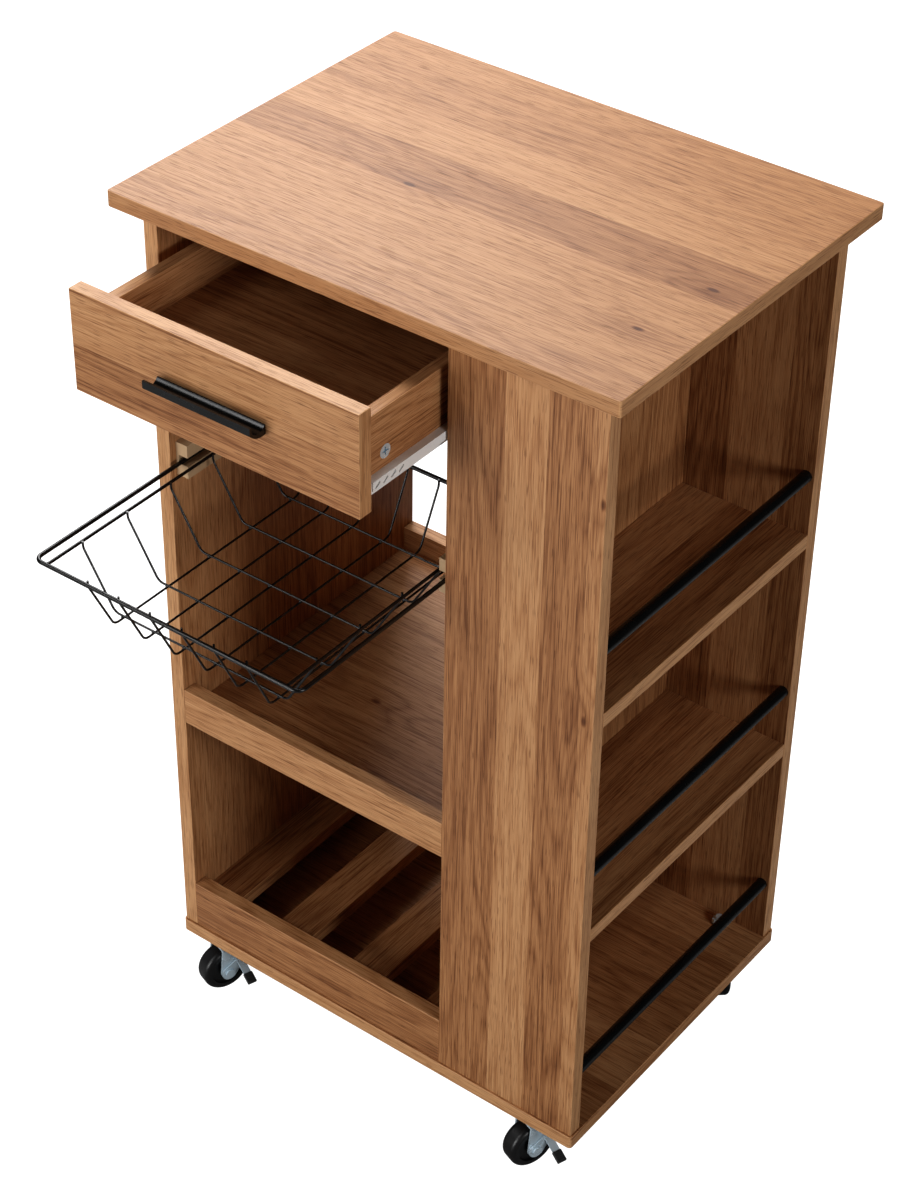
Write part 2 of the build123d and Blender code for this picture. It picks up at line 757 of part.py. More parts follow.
for panel, x, y in (
    ("left_side_panel", board / 2, 0.25 * carcass_depth),
    ("left_side_panel", board / 2, 0.75 * carcass_depth),
    ("front_panel", tower_left + tower_width / 2, front_y),
    ("back_panel", (divider_right + carcass_width) / 2, back_y),
):
    peg("worktop", panel, (x, y, carcass_height), (0, 0, -1))

parts["dowels"] = dowel_pins
parts["frame_screws"] = frame_screws
parts["wood_screws"] = wood_screws
parts["drawer_screws"] = drawer_screws
parts["handle_screws"] = handle_screws

# ---------------------------------------------------------------- written out, one file for each node
for name, shape in parts.items():
    pieces = shape if isinstance(shape, list) else [shape]
    solids = [solid for piece in pieces for solid in piece.solids()]
    body = solids[0] if len(solids) == 1 else Compound(children=solids)
    export_step(to_model * body, f"parts/{name}.step")
    print(name, len(solids))
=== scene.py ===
# %% Load the frame
import json
import math

import bmesh
import bpy
from mathutils import Matrix, Vector


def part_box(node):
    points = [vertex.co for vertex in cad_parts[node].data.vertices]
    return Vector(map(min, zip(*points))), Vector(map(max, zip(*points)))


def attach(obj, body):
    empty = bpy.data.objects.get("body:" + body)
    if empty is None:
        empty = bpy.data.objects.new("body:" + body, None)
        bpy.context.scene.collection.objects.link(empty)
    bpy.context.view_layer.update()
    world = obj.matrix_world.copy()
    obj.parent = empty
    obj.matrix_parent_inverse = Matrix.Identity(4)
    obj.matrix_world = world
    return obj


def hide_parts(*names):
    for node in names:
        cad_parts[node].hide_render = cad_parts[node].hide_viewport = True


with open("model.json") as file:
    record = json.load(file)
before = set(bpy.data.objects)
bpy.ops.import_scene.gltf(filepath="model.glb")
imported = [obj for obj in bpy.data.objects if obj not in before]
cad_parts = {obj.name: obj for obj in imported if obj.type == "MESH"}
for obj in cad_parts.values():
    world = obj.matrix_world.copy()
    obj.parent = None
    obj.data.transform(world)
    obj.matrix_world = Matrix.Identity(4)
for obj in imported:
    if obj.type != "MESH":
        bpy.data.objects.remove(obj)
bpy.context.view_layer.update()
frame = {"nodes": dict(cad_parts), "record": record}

# %% [markdown]
# # A kitchen island on wheels
# The real thing is a flat-pack cart: wood-grain boards, a drawer on sheet-steel runners, a basket of
# welded wire, black steel rods and four casters. The frame already holds every part as a solid that
# moves on its joints. What is left is how each part looks. Boards keep their solids and get a finish;
# parts that repeat, such as wires, slats and screws, are grown with Geometry Nodes.

# %% Short words for building node trees
MM = 0.001
scene = bpy.context.scene


def add(tree, kind, inputs=None, **settings):
    """Adds a node. Inputs may be plain values or the sockets of other nodes, keyed by name or number."""
    node = tree.nodes.new(kind)
    for name, value in settings.items():
        setattr(node, name, value)
    for key, value in (inputs or {}).items():
        target = node.inputs[key]
        if isinstance(value, bpy.types.NodeSocket):
            tree.links.new(value, target)
        else:
            target.default_value = value
    return node


def calc(tree, operation, *values):
    """One Math node, and the value it gives."""
    return add(tree, "ShaderNodeMath", dict(enumerate(values)), operation=operation).outputs[0]


def vector(tree, x, y, z):
    """Three values made one vector."""
    return add(tree, "ShaderNodeCombineXYZ", {0: x, 1: y, 2: z}).outputs[0]


def noise(tree, place, scale=1.0, detail=2.0, rough=0.5):
    """A cloudy value between 0 and 1."""
    inputs = {"Vector": place, "Scale": scale, "Detail": detail, "Roughness": rough}
    return add(tree, "ShaderNodeTexNoise", inputs).outputs["Fac"]


def ease(tree, value, low, high, to_low=0.0, to_high=1.0):
    """A smooth step of a value from one range to another."""
    inputs = {0: value, 1: low, 2: high, 3: to_low, 4: to_high}
    return add(tree, "ShaderNodeMapRange", inputs, interpolation_type="SMOOTHSTEP").outputs[0]


def tree_with(name, kind, inputs, outputs):
    """An empty node group with named sockets, and its way in and out."""
    tree = bpy.data.node_groups.new(name, kind)
    for label, socket, value in inputs:
        item = tree.interface.new_socket(name=label, in_out="INPUT", socket_type=socket)
        if value is not None:
            item.default_value = value
    for label, socket in outputs:
        tree.interface.new_socket(name=label, in_out="OUTPUT", socket_type=socket)
    return tree, tree.nodes.new("NodeGroupInput").outputs, tree.nodes.new("NodeGroupOutput").inputs


# %% [markdown]
# ## The camera, the floor and the light
# The cart is seen from above its front right corner, a little over head height and two and three
# quarter metres away, through a long lens, so its upright edges lean in only slightly. A camera can be
# placed by its angles, but a place and a point to look at are easier to read, with a small roll after.
# The light is that of a plain studio table: soft boxes above and behind for the worktop, one low in
# front for the upright faces, a weaker one at the right, and a faint one high in front for a sheen on
# the pull. The floor and the room glow white only where the camera sees them. To the cart they are a
# dim grey floor and a nearly dark room, so the deep bay goes dark and the wood keeps its colour.

# %% Camera
camera_place = Vector((1.1911, -1.5658, 2.0230))
camera_target = Vector((-0.1153, 0.1940, 0.3619))
camera_roll = math.radians(1.01)
lens_mm = 82.73

camera = bpy.data.objects.new("camera", bpy.data.cameras.new("camera"))
scene.collection.objects.link(camera)
scene.camera = camera
looking = (camera_target - camera_place).to_track_quat("-Z", "Y").to_matrix().to_4x4()
camera.matrix_world = Matrix.Translation(camera_place) @ looking @ Matrix.Rotation(camera_roll, 4, "Z")
camera.data.sensor_fit = "VERTICAL"
camera.data.sensor_height = 36.0
camera.data.lens = lens_mm
print("camera looks along", [round(v, 3) for v in (camera_target - camera_place).normalized()])

# %% Floor
floor_half = 9.0
floor_tone, floor_roughness, floor_glow = 0.30, 0.9, 0.90
room_light, room_glow = 0.02, 0.98

floor_mesh = bpy.data.meshes.new("floor")
corners = [(x * floor_half, y * floor_half, 0) for x, y in ((-1, -1), (1, -1), (1, 1), (-1, 1))]
floor_mesh.from_pydata(corners, [], [(0, 1, 2, 3)])
floor = bpy.data.objects.new("floor", floor_mesh)
scene.collection.objects.link(floor)
floor_paint = bpy.data.materials.new("floor_paint")
floor_paint.use_nodes = True
floor_shader = floor_paint.node_tree.nodes["Principled BSDF"]
floor_shader.inputs["Base Color"].default_value = (floor_tone, floor_tone, floor_tone, 1)
floor_shader.inputs["Roughness"].default_value = floor_roughness
floor_shader.inputs["Emission Color"].default_value = (1, 1, 1, 1)
seen = add(floor_paint.node_tree, "ShaderNodeLightPath").outputs["Is Camera Ray"]
glow = calc(floor_paint.node_tree, "MULTIPLY", seen, floor_glow)
floor_paint.node_tree.links.new(glow, floor_shader.inputs["Emission Strength"])
floor_mesh.materials.append(floor_paint)
print("floor is", 2 * floor_half, "metres wide")

# %% Lights and room
# Name, place, point it faces, size and watts.
LIGHTS = (
    ("top_light", (-0.5, 0.7, 3.3), (0.0, 0.0, 0.7), (0.9, 0.9), 44),
    ("back_light", (-1.7, 1.5, 2.5), (0.0, 0.0, 0.85), (1.5, 1.2), 46),
    ("front_light", (-0.7, -3.0, 0.85), (0.0, 0.0, 0.45), (1.6, 1.1), 47),
    ("side_light", (2.8, -0.7, 1.35), (0.0, 0.0, 0.5), (1.0, 0.8), 29),
    ("gloss_light", (-1.5, -2.1, 2.3), (0.0, -0.1, 0.8), (1.0, 1.0), 16),
)


def soft_box(name, place, towards, size, watts):
    """A large flat light that faces a point."""
    lamp = bpy.data.lights.new(name, "AREA")
    lamp.shape = "RECTANGLE"
    lamp.size, lamp.size_y = size
    lamp.energy = watts
    body = bpy.data.objects.new(name, lamp)
    scene.collection.objects.link(body)
    body.location = place
    body.rotation_euler = (Vector(towards) - Vector(place)).to_track_quat("-Z", "Y").to_euler()


for light in LIGHTS:
    soft_box(*light)
world = bpy.data.worlds.new("room")
scene.world = world
world.use_nodes = True
world.node_tree.nodes["Background"].inputs["Color"].default_value = (1.0, 1.0, 1.0, 1)
seen = add(world.node_tree, "ShaderNodeLightPath").outputs["Is Camera Ray"]
room_strength = calc(world.node_tree, "MULTIPLY_ADD", seen, room_glow, room_light)
world.node_tree.links.new(room_strength, world.node_tree.nodes["Background"].inputs["Strength"])
scene.view_settings.view_transform = "Standard"
scene.view_settings.look = "Medium High Contrast"

# %% [markdown]
# ## Finish 1: wood-grain laminate
# The boards are chipboard under a printed paper: narrow staves side by side, each with its own tone,
# long flowing figure, fine streaks, short dark pores and now and then a knot. The cut edges carry a
# thin band of the same print, a little lighter, that runs along the edge. A picture could be wrapped
# on, but a procedure needs no file and never repeats. It works in the board's own directions: first
# along the grain, then across it. The group below turns such a place into colour and relief, and is
# used by every board with its own numbers.

# %% Group: figure of the wood
figure, given, gives = tree_with(
    "wood_figure",
    "ShaderNodeTree",
    [
        ("Place", "NodeSocketVector", None),
        ("Stave Width", "NodeSocketFloat", 0.05),
        ("Seed", "NodeSocketFloat", 0.0),
        ("Contrast", "NodeSocketFloat", 1.0),
        ("Knot 1", "NodeSocketVector", (9, 9, 9)),
        ("Knot 2", "NodeSocketVector", (9, 9, 9)),
        ("Knot 3", "NodeSocketVector", (9, 9, 9)),
    ],
    [("Tone", "NodeSocketFloat"), ("Pores", "NodeSocketFloat"), ("Height", "NodeSocketFloat")],
)
split = add(figure, "ShaderNodeSeparateXYZ", {0: given["Place"]}).outputs
along, across = split[0], split[1]
seed = given["Seed"]


def scaled(value, times):
    """A value of the wood figure multiplied."""
    return calc(figure, "MULTIPLY", value, times)


# Knots push the figure aside and darken their own middle. They are longer along the grain.
knot_shape = (0.45, 1.0, 0.0)
knot_reach = 30.0 * MM
knot_core, knot_rim = 0.6 * MM, 3.6 * MM
swell, dark_knots = 0.0, 0.0
for knot in ("Knot 1", "Knot 2", "Knot 3"):
    reach = add(figure, "ShaderNodeVectorMath", {0: given["Place"], 1: given[knot]}, operation="SUBTRACT")
    flat_inputs = {0: reach.outputs[0], 1: knot_shape}
    flat = add(figure, "ShaderNodeVectorMath", flat_inputs, operation="MULTIPLY")
    away = add(figure, "ShaderNodeVectorMath", {0: flat.outputs[0]}, operation="LENGTH").outputs["Value"]
    swell = calc(figure, "ADD", swell, ease(figure, away, 0.0, knot_reach, 1.0, 0.0))
    dark_knots = calc(figure, "ADD", dark_knots, ease(figure, away, knot_core, knot_rim, 1.0, 0.0))

# Staves of uneven width: the place across is stretched a little here and there before it is cut up.
stave_drift = 35.0 * MM
drifts_per_metre = 9.0
uneven = noise(figure, vector(figure, 0.0, scaled(across, drifts_per_metre), seed))
bent = calc(figure, "ADD", across, scaled(uneven, stave_drift))
stave = calc(figure, "FLOOR", calc(figure, "DIVIDE", bent, given["Stave Width"]))
pick = add(
    figure, "ShaderNodeTexWhiteNoise", {"Vector": vector(figure, stave, seed, 0.0)}, noise_dimensions="2D"
).outputs["Value"]
stave_spread = 17.0
own = scaled(pick, stave_spread)

# How often each pattern changes in a metre: along the grain, then across it.
PER_METRE = {
    "cloud": (1.3, 15.0),
    "streaks": (4.0, 420.0),
    "hairs": (15.0, 1400.0),
    "dashes": (17.0, 1000.0),
    "shade": (2.6, 11.0),
    "pores": (60.0, 1500.0),
}


def drawn_out(pattern, third, sideways=across):
    """A place drawn out along the grain, as one pattern needs it."""
    per_metre_along, per_metre_across = PER_METRE[pattern]
    return vector(figure, scaled(along, per_metre_along), scaled(sideways, per_metre_across), third)


# Flowing figure: the contour lines of a long soft cloud, different in each stave. The power makes the
# dark lines narrow and the pale ones wide.
contours_in_cloud, contours_at_knot = 120.0, 9.0
line_sharpness = 0.45
cloud_along, cloud_across = PER_METRE["cloud"]
cloud_place = vector(
    figure,
    calc(figure, "ADD", scaled(along, cloud_along), own),
    calc(figure, "ADD", scaled(across, cloud_across), own),
    seed,
)
cloud = noise(figure, cloud_place, 1.0, 2.0, 0.45)
lines = calc(figure, "ADD", scaled(cloud, contours_in_cloud), scaled(swell, contours_at_knot))
waves = calc(figure, "MULTIPLY_ADD", calc(figure, "SINE", lines), 0.5, 0.5)
rings = calc(figure, "POWER", waves, line_sharpness)

# Fine streaks, broader shading and short pores, all drawn out along the grain. The streaks bend with
# the cloud.
streak_bend = 22.0
streaks_along, streaks_across = PER_METRE["streaks"]
bent_streaks = calc(figure, "MULTIPLY_ADD", cloud, streak_bend, scaled(across, streaks_across))
streak_place = vector(figure, scaled(along, streaks_along), bent_streaks, seed)
streaks = noise(figure, streak_place, 1.0, 4.0, 0.65)
hairs = noise(figure, drawn_out("hairs", seed), 1.0, 2.0, 0.6)
dashes = ease(figure, noise(figure, drawn_out("dashes", own, bent), 1.0, 1.0, 0.5), 0.64, 0.50)
shade = noise(figure, drawn_out("shade", own), 1.0, 2.0)
pores = ease(figure, noise(figure, drawn_out("pores", seed), 1.0, 0.0), 0.62, 0.72)

# Each part moves the tone away from the middle by its own weight.
FIGURE_PARTS = (
    (pick, 0.25),
    (rings, 0.14),
    (streaks, 0.36),
    (hairs, 0.38),
    (dashes, 0.18),
    (shade, 0.20),
)
swell_darkens, knot_darkens = 0.10, 0.38
tone = 0.5
for part, weight in FIGURE_PARTS:
    tone = calc(figure, "ADD", tone, scaled(calc(figure, "SUBTRACT", part, 0.5), weight))
tone = calc(figure, "MULTIPLY_ADD", calc(figure, "SUBTRACT", tone, 0.5), given["Contrast"], 0.5)
tone = calc(figure, "SUBTRACT", tone, scaled(swell, swell_darkens))
tone = calc(figure, "SUBTRACT", tone, scaled(dark_knots, knot_darkens))
figure.links.new(tone, gives["Tone"])
figure.links.new(pores, gives["Pores"])
relief = calc(figure, "SUBTRACT", scaled(streaks, 0.5), scaled(pores, 0.6))
figure.links.new(relief, gives["Height"])
print("wood figure uses", len(figure.nodes), "nodes")

# %% [markdown]
# A board has three kinds of face. Its two wide faces show the print. Its long edges and its ends are
# banded: there the print runs along the edge, so the place has to be turned before the figure is drawn.
# The way a face points tells which kind it is. The same group marks the eased corner between two
# faces, where the board's finish paints a highlight: a paler line along every rounded edge.

# %% Group: which face of the board
faces, given, gives = tree_with(
    "board_faces",
    "ShaderNodeTree",
    [("Place", "NodeSocketVector", None), ("Facing", "NodeSocketVector", None)],
    [("Place", "NodeSocketVector"), ("Banded", "NodeSocketFloat"), ("Eased", "NodeSocketFloat")],
)
x, y, z = add(faces, "ShaderNodeSeparateXYZ", {0: given["Place"]}).outputs
facing = add(faces, "ShaderNodeVectorMath", {0: given["Facing"]}, operation="ABSOLUTE").outputs[0]
to_x, to_y, to_z = add(faces, "ShaderNodeSeparateXYZ", {0: facing}).outputs
faces_that_way = 0.7
edge_shift, end_shift = 3.1, 5.7
is_end = calc(faces, "GREATER_THAN", to_x, faces_that_way)
is_edge = calc(faces, "GREATER_THAN", to_y, faces_that_way)
wide_place = vector(faces, x, y, 0.0)
edge_place = vector(faces, x, calc(faces, "ADD", z, edge_shift), 0.0)
end_place = vector(faces, y, calc(faces, "ADD", z, end_shift), 0.0)
first = add(faces, "ShaderNodeMix", {0: is_edge, 4: wide_place, 5: edge_place}, data_type="VECTOR").outputs[1]
second = add(faces, "ShaderNodeMix", {0: is_end, 4: first, 5: end_place}, data_type="VECTOR").outputs[1]
faces.links.new(second, gives["Place"])
faces.links.new(calc(faces, "MAXIMUM", is_edge, is_end), gives["Banded"])
# The eased corners, where a painted highlight makes the print paler.
widest = calc(faces, "MAXIMUM", calc(faces, "MAXIMUM", to_x, to_y), to_z)
faces.links.new(ease(faces, widest, 0.985, 0.86), gives["Eased"])
print("board faces uses", len(faces.nodes), "nodes")


# %% Material: one board
def colours(tree, value, stops):
    """A colour ramp through (position, colour) stops."""
    ramp = add(tree, "ShaderNodeValToRGB", {0: value})
    line = ramp.color_ramp.elements
    while len(line) < len(stops):
        line.new(0.5)
    for stop, (position, colour) in zip(line, stops):
        stop.position = position
        stop.color = (*colour, 1)
    return ramp.outputs[0]


def blend_colour(tree, factor, below, above, mode="MIX"):
    """Two colours mixed by a factor."""
    node = add(tree, "ShaderNodeMix", data_type="RGBA", blend_type=mode)
    for key, value in ((0, factor), (6, below), (7, above)):
        if isinstance(value, bpy.types.NodeSocket):
            tree.links.new(value, node.inputs[key])
        else:
            node.inputs[key].default_value = value
    return node.outputs[2]


def blank_material(name):
    """A new material and its tree, with the Principled shader ready."""
    material = bpy.data.materials.new(name)
    material.use_nodes = True
    return material, material.node_tree, material.node_tree.nodes["Principled BSDF"]


def place_group(tree, group, inputs):
    """A node group set in a tree."""
    node = tree.nodes.new("ShaderNodeGroup")
    node.node_tree = group
    for key, value in inputs.items():
        if isinstance(value, bpy.types.NodeSocket):
            tree.links.new(value, node.inputs[key])
        else:
            node.inputs[key].default_value = value
    return node.outputs


WOOD_STOPS = (
    (0.14, (0.110, 0.035, 0.011)),
    (0.38, (0.262, 0.106, 0.038)),
    (0.58, (0.430, 0.208, 0.088)),
    (0.86, (0.600, 0.335, 0.162)),
)
BAND_LIFT = 0.10
# How much paler the eased corners are drawn: a painted highlight.
EASED_EDGE_HIGHLIGHT = 0.16
PORE_TINT = (0.35, 0.26, 0.20, 1)
PORE_STRENGTH = 0.55
LAMINATE_ROUGHNESS, RELIEF_GLOSS = 0.52, -0.16
LAMINATE_SPECULAR = 0.36
LAMINATE_RELIEF = {"Strength": 0.22, "Distance": 0.4 * MM}
COATING_RELIEF_DEPTH = 0.3 * MM


def board_material(name, order, seed_value, stave_width, knots=(), contrast=1.0):
    """Laminate for a board. The order gives its axes: along the grain, across it, and its thickness."""
    material, tree, shader = blank_material("laminate_" + name)
    seat = add(tree, "ShaderNodeTexCoord").outputs
    own_axes = []
    for source in (seat["Object"], seat["Normal"]):
        axes = add(tree, "ShaderNodeSeparateXYZ", {0: source}).outputs
        own_axes.append(vector(tree, *(axes["XYZ".index(letter)] for letter in order)))
    face = place_group(tree, faces, {"Place": own_axes[0], "Facing": own_axes[1]})
    inputs = {
        "Place": face["Place"],
        "Stave Width": stave_width,
        "Seed": seed_value,
        "Contrast": contrast,
    }
    for i, knot in enumerate(knots):
        inputs[f"Knot {i + 1}"] = (*knot, 0.0)
    wood = place_group(tree, figure, inputs)
    lifted = calc(tree, "MULTIPLY_ADD", face["Banded"], BAND_LIFT, wood["Tone"])
    # The eased corners drawn paler: a painted highlight.
    lifted = calc(tree, "MULTIPLY_ADD", face["Eased"], EASED_EDGE_HIGHLIGHT, lifted)
    colour = colours(tree, lifted, WOOD_STOPS)
    pored = calc(tree, "MULTIPLY", wood["Pores"], PORE_STRENGTH)
    colour = blend_colour(tree, pored, colour, PORE_TINT, "MULTIPLY")
    tree.links.new(colour, shader.inputs["Base Color"])
    rough = calc(tree, "MULTIPLY_ADD", wood["Height"], RELIEF_GLOSS, LAMINATE_ROUGHNESS)
    tree.links.new(rough, shader.inputs["Roughness"])
    shader.inputs["Specular IOR Level"].default_value = LAMINATE_SPECULAR
    bump = add(tree, "ShaderNodeBump", {**LAMINATE_RELIEF, "Height": wood["Height"]})
    tree.links.new(bump.outputs[0], shader.inputs["Normal"])
    return material


def dress(node, material):
    """Gives a solid of the frame its finish."""
    for slot in frame["nodes"][node].material_slots:
        slot.material = material


# %% [markdown]
# Each board now gets the print in its own direction. On the worktop, the base, the rails, the middle
# shelf, and the drawer's front, back and floor the grain runs from side to side; on the upright panels
# it runs up; on the side shelves, the drawer sides and the slats it runs from front to back. A
# different seed for each board keeps two neighbours from sharing one figure.

# %% Finish the boards
first_seed, seed_step = 1.7, 2.3
worktop_contrast = 0.65

# For each board: its axes along the grain, across it and through it, the stave width, and its knots.
BOARDS = {
    "worktop": ("XYZ", 0.062, ((-0.069, 0.052), (0.225, 0.066), (0.211, -0.019))),
    "base_panel": ("XYZ", 0.070, ()),
    "left_side_panel": ("ZYX", 0.060, ()),
    "divider_panel": ("ZYX", 0.060, ()),
    "front_panel": ("ZXY", 0.040, ((0.792, 0.238), (0.570, 0.230))),
    "back_panel": ("ZXY", 0.055, ()),
    "upper_side_shelf": ("YXZ", 0.060, ()),
    "lower_side_shelf": ("YXZ", 0.060, ()),
    "mid_shelf": ("XYZ", 0.070, ((-0.088, 0.028),)),
    "mid_front_rail": ("XZY", 0.060, ()),
    "mid_back_rail": ("XZY", 0.060, ()),
    "bottom_front_rail": ("XZY", 0.060, ()),
    "bottom_back_rail": ("XZY", 0.060, ()),
    "top_back_rail": ("XZY", 0.060, ()),
    "drawer_front": ("XZY", 0.052, ()),
    "drawer_side_left": ("YZX", 0.060, ()),
    "drawer_side_right": ("YZX", 0.060, ()),
    "drawer_back": ("XZY", 0.060, ()),
    "drawer_bottom": ("XYZ", 0.070, ()),
}
for i, (node, (order, stave_width, knots)) in enumerate(BOARDS.items()):
    contrast = worktop_contrast if node == "worktop" else 1.0
    dress(node, board_material(node, order, first_seed + seed_step * i, stave_width, knots, contrast))
print(len(BOARDS), "boards finished")

# %% [markdown]
# ## Finish 2: coated steel, zinc, plastic and bare wood
# The rods and the pull are powder coated, which dries with a faint orange-peel. The wires are dipped
# and glossier. The runners are coated white. Zinc plate is bright but never even: it clouds. One
# small group serves them all: it gives a fine speckle, a soft cloud, and a value between two limits
# for the sheen.

# %% Group: speckle and cloud
speckle, given, gives = tree_with(
    "speckle",
    "ShaderNodeTree",
    [
        ("Place", "NodeSocketVector", None),
        ("Grain Scale", "NodeSocketFloat", 900.0),
        ("Cloud Scale", "NodeSocketFloat", 30.0),
        ("Low", "NodeSocketFloat", 0.3),
        ("High", "NodeSocketFloat", 0.5),
    ],
    [("Grain", "NodeSocketFloat"), ("Cloud", "NodeSocketFloat"), ("Between", "NodeSocketFloat")],
)
grain = noise(speckle, given["Place"], given["Grain Scale"], 1.0)
cloud = noise(speckle, given["Place"], given["Cloud Scale"], 3.0, 0.6)
between = add(speckle, "ShaderNodeMapRange", {0: cloud, 1: 0.3, 2: 0.7, 3: given["Low"], 4: given["High"]})
speckle.links.new(grain, gives["Grain"])
speckle.links.new(cloud, gives["Cloud"])
speckle.links.new(between.outputs[0], gives["Between"])


# %% Materials: the small finishes
def coated(name, base, second_base, low, high, grain_scale=900.0, bump=0.15, metallic=0.0, specular=0.5):
    """A finish of two close colours, an uneven sheen and a fine relief."""
    material, tree, shader = blank_material(name)
    seat = add(tree, "ShaderNodeTexCoord").outputs["Object"]
    inputs = {"Place": seat, "Grain Scale": grain_scale, "Low": low, "High": high}
    spots = place_group(tree, speckle, inputs)
    colour = blend_colour(tree, spots["Cloud"], (*base, 1), (*second_base, 1))
    tree.links.new(colour, shader.inputs["Base Color"])
    tree.links.new(spots["Between"], shader.inputs["Roughness"])
    shader.inputs["Metallic"].default_value = metallic
    shader.inputs["Specular IOR Level"].default_value = specular
    relief_inputs = {"Strength": bump, "Distance": COATING_RELIEF_DEPTH, "Height": spots["Grain"]}
    relief = add(tree, "ShaderNodeBump", relief_inputs)
    tree.links.new(relief.outputs[0], shader.inputs["Normal"])
    return material


powder_black = coated("powder_black", (0.004, 0.004, 0.004), (0.008, 0.008, 0.008), 0.20, 0.30, 1400.0, 0.03)
wire_black = coated("wire_black", (0.004, 0.004, 0.004), (0.009, 0.008, 0.008), 0.18, 0.30, 700.0, 0.06)
epoxy_white = coated("epoxy_white", (0.78, 0.78, 0.77), (0.86, 0.86, 0.85), 0.34, 0.44, 900.0, 0.10)
nylon = coated("roller_nylon", (0.70, 0.70, 0.67), (0.80, 0.80, 0.78), 0.45, 0.55, 500.0, 0.08)
zinc = coated("zinc_plate", (0.50, 0.64, 0.74), (0.80, 0.90, 0.96), 0.16, 0.34, 260.0, 0.12, 0.45)
tyre_black = coated("wheel_black", (0.004, 0.004, 0.004), (0.010, 0.010, 0.011), 0.30, 0.48, 600.0, 0.15)
cap_black = coated("toe_cap_black", (0.012, 0.012, 0.012), (0.022, 0.022, 0.022), 0.50, 0.62, 1200.0, 0.25)
strip_wood = coated("bare_wood", (0.42, 0.27, 0.145), (0.56, 0.40, 0.245), 0.60, 0.75, 420.0, 0.35)

FINISHES = {
    powder_black: ("side_rod_1", "side_rod_2", "side_rod_3", "handle"),
    wire_black: ("basket_rim",),
    epoxy_white: ("cabinet_runner_left", "cabinet_runner_right", "drawer_runner_left", "drawer_runner_right"),
    nylon: ("cabinet_roller_left", "cabinet_roller_right", "drawer_roller_left", "drawer_roller_right"),
    strip_wood: ("basket_runner_left", "basket_runner_right", "dowels"),
}
CASTERS = ("front_left", "front_right", "back_left", "back_right")
FINISHES[tyre_black] = tuple("caster_wheel_" + name for name in CASTERS)
FINISHES[cap_black] = ("brake_cap_front_left", "brake_cap_front_right")
FINISHES[zinc] = (
    "wood_screws",
    "drawer_screws",
    "handle_screws",
    "drawer_cams",
    "caster_stems",
    "brake_pedal_front_left",
    "brake_pedal_front_right",
    *("caster_fork_" + name for name in CASTERS),
)
for material, nodes in FINISHES.items():
    for node in nodes:
        dress(node, material)
print("small finishes:", {m.name: len(n) for m, n in FINISHES.items()})

# %% [markdown]
# ## Growing repeated parts
# Geometry Nodes describe a rule once and repeat it. The helper runs a tree on a starting shape, hands
# it its sizes, and keeps the outcome as a plain mesh at the origin, so nothing live is left on it.


# %% Helper: run a tree and keep the mesh
def plain_mesh(name, points, edges=(), polygons=()):
    """A mesh from plain lists."""
    mesh = bpy.data.meshes.new(name)
    mesh.from_pydata([tuple(p) for p in points], list(edges), list(polygons))
    return mesh


def copies_at(tree, points, instance, **more):
    """Sets an instance on every point, and gives the node so that more can be linked to it."""
    inputs = {"Points": points, "Instance": instance, **more}
    return add(tree, "GeometryNodeInstanceOnPoints", inputs)


def finish_tree(tree, geometry, material, way_out, smooth=False):
    """The end of a tree: copies made real, shaded smooth if asked, painted, and led out."""
    shape = add(tree, "GeometryNodeRealizeInstances", {0: geometry}).outputs[0]
    if smooth:
        shape = add(tree, "GeometryNodeSetShadeSmooth", {"Geometry": shape}).outputs[0]
    painted = add(tree, "GeometryNodeSetMaterial", {"Geometry": shape, "Material": material})
    tree.links.new(painted.outputs[0], way_out)


def grow(name, start, tree, sizes, body, slot, *nodes):
    """Runs a Geometry Nodes tree, keeps the result, and lets it ride on a body in place of some solids."""
    carrier = bpy.data.objects.new(name + "_start", start)
    scene.collection.objects.link(carrier)
    modifier = carrier.modifiers.new("grow", "NODES")
    modifier.node_group = tree
    for item in tree.interface.items_tree:
        if item.item_type == "SOCKET" and item.in_out == "INPUT" and item.name in sizes:
            modifier[item.identifier] = sizes[item.name]
    evaluated = carrier.evaluated_get(bpy.context.evaluated_depsgraph_get())
    mesh = bpy.data.meshes.new_from_object(evaluated)
    bpy.data.objects.remove(carrier)
    piece = bpy.data.objects.new(name, mesh)
    scene.collection.objects.link(piece)
    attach(piece, body)
    if nodes:
        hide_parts(*nodes)
    print(name, "has", len(mesh.polygons), "faces")
    return piece


# %% [markdown]
# ## The basket's wires
# Each wire of the basket is cut, bent into a flat-bottomed U and welded. Along the bottom the
# lengthwise ones lie under the crosswise ones, and both rise to the height of the rim. A wire is a path
# with rounded corners and a round section, so the tree takes the bent path of one wire, rounds it,
# copies it at an even spacing and sweeps a circle along every copy, drawn a little thinner than the
# solid it replaces, as fine wire looks. The welds are small beads where two wires cross.

# %% Tree: a row of bent wires
wires, given, gives = tree_with(
    "row_of_wires",
    "GeometryNodeTree",
    [
        ("Path", "NodeSocketGeometry", None),
        ("Count", "NodeSocketInt", 5),
        ("Spacing", "NodeSocketVector", None),
        ("Wire Radius", "NodeSocketFloat", 0.00125),
        ("Bend Radius", "NodeSocketFloat", 0.009),
        ("Finish", "NodeSocketMaterial", None),
    ],
    [("Geometry", "NodeSocketGeometry")],
)
line = add(wires, "GeometryNodeMeshToCurve", {"Mesh": given["Path"]}).outputs[0]
rounded = add(wires, "GeometryNodeFilletCurve", {"Curve": line, "Radius": given["Bend Radius"]})
rounded.inputs["Limit Radius"].default_value = True
rounded.mode = "POLY"
rounded.inputs["Count"].default_value = 6
row = add(wires, "GeometryNodeMeshLine", {"Count": given["Count"], "Offset": given["Spacing"]})
copies = copies_at(wires, row.outputs[0], rounded.outputs[0])
paths = add(wires, "GeometryNodeRealizeInstances", {0: copies.outputs[0]})
section = add(wires, "GeometryNodeCurvePrimitiveCircle", {"Resolution": 12, "Radius": given["Wire Radius"]})
